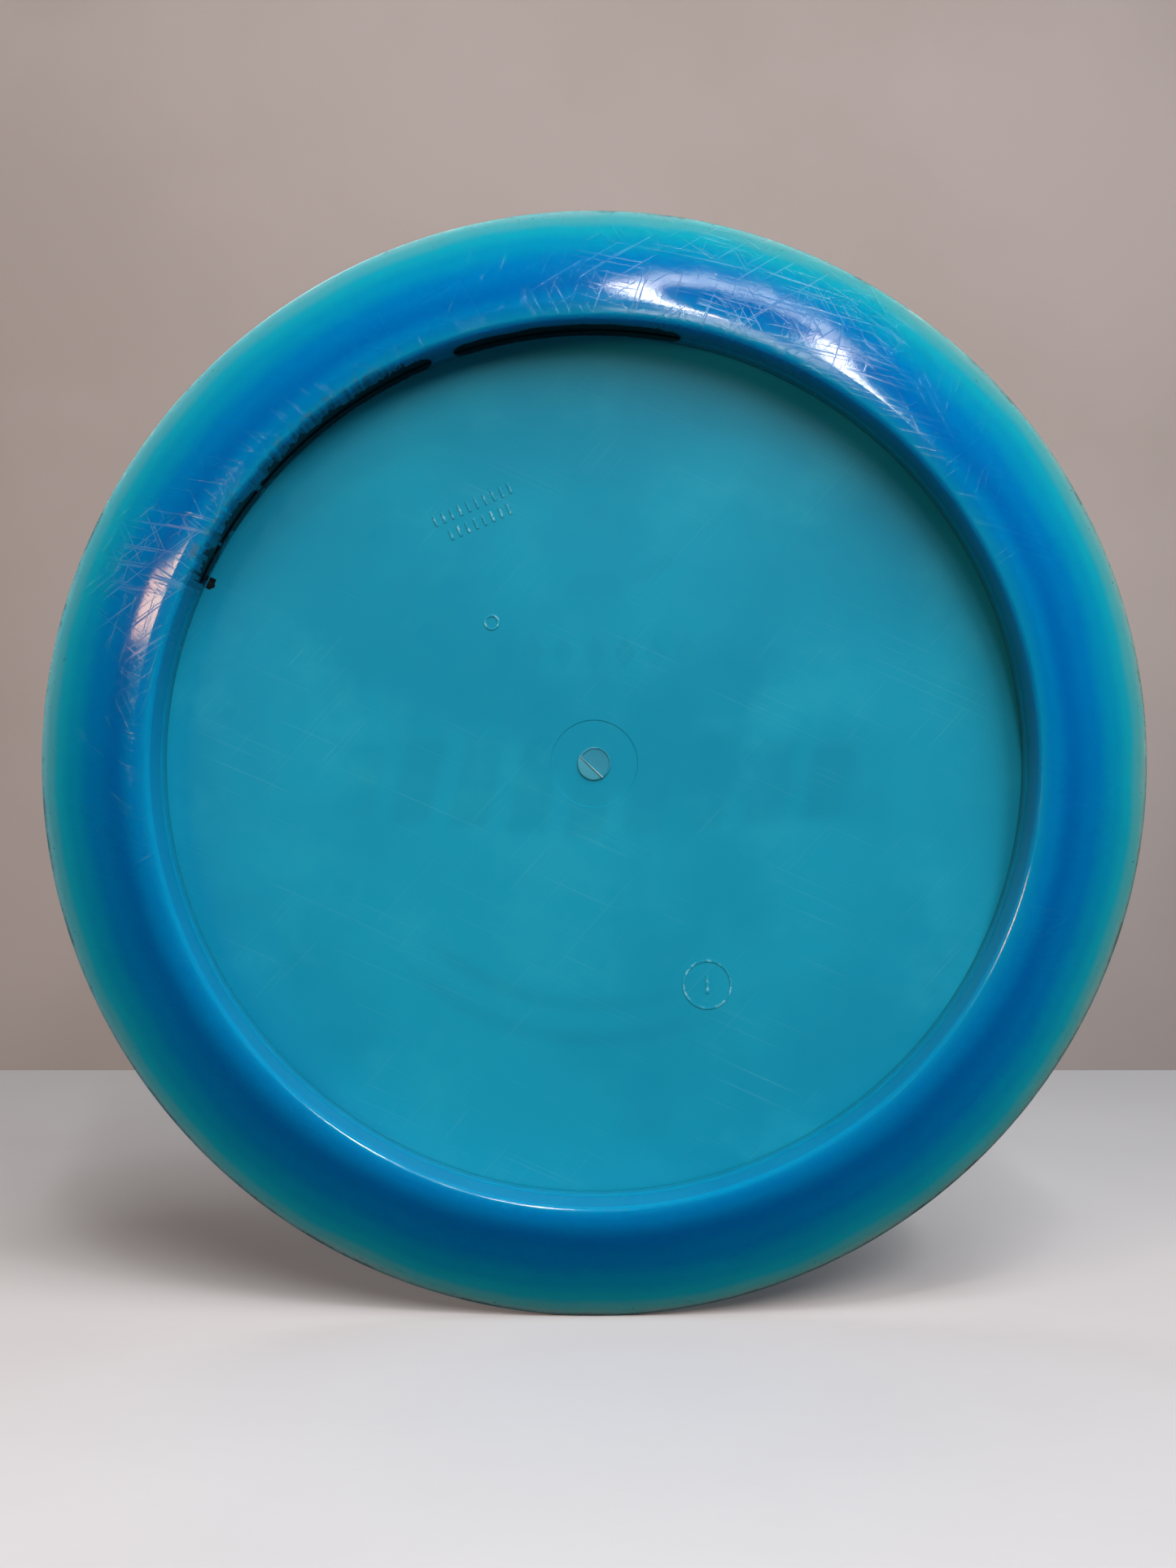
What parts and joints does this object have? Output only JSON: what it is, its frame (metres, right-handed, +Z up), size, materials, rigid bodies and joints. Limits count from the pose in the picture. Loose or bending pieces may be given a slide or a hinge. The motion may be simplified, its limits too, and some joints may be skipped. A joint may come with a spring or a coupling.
{
  "type": "flying disc",
  "caption": "Translucent blue golf disc on edge: thin domed flight plate in a wide sharp rim, foil stamp on top, hollow underside, marker ink on the inner wall.",
  "frame": {"origin": "on the disc's axis, halfway between the resting land and the crown of the stamped top", "axes": "the disc stands on edge: +Y along its axis from the hollow underside to the stamped top, +X to the right and +Z up as seen from the underside"},
  "size_m": [0.211, 0.0158, 0.211],
  "materials": {
    "rim_plastic": "glossy translucent moulded plastic, scuffed at the nose",
    "plate_plastic": "satin translucent moulded plastic",
    "foil": "hot-stamped foil, dark metallic",
    "marker_ink": "dried permanent marker"
  },
  "bodies": {
    "root": {"rim": "rim_plastic", "flight_plate": "plate_plastic", "gate_stub": "plate_plastic", "mould_marks": "plate_plastic", "foil_crest": "foil", "foil_row": "foil", "foil_band": "foil", "foil_sweep": "foil", "ink_stroke_long": "marker_ink", "ink_stroke_short": "marker_ink"}
  },
  "joints": []
}
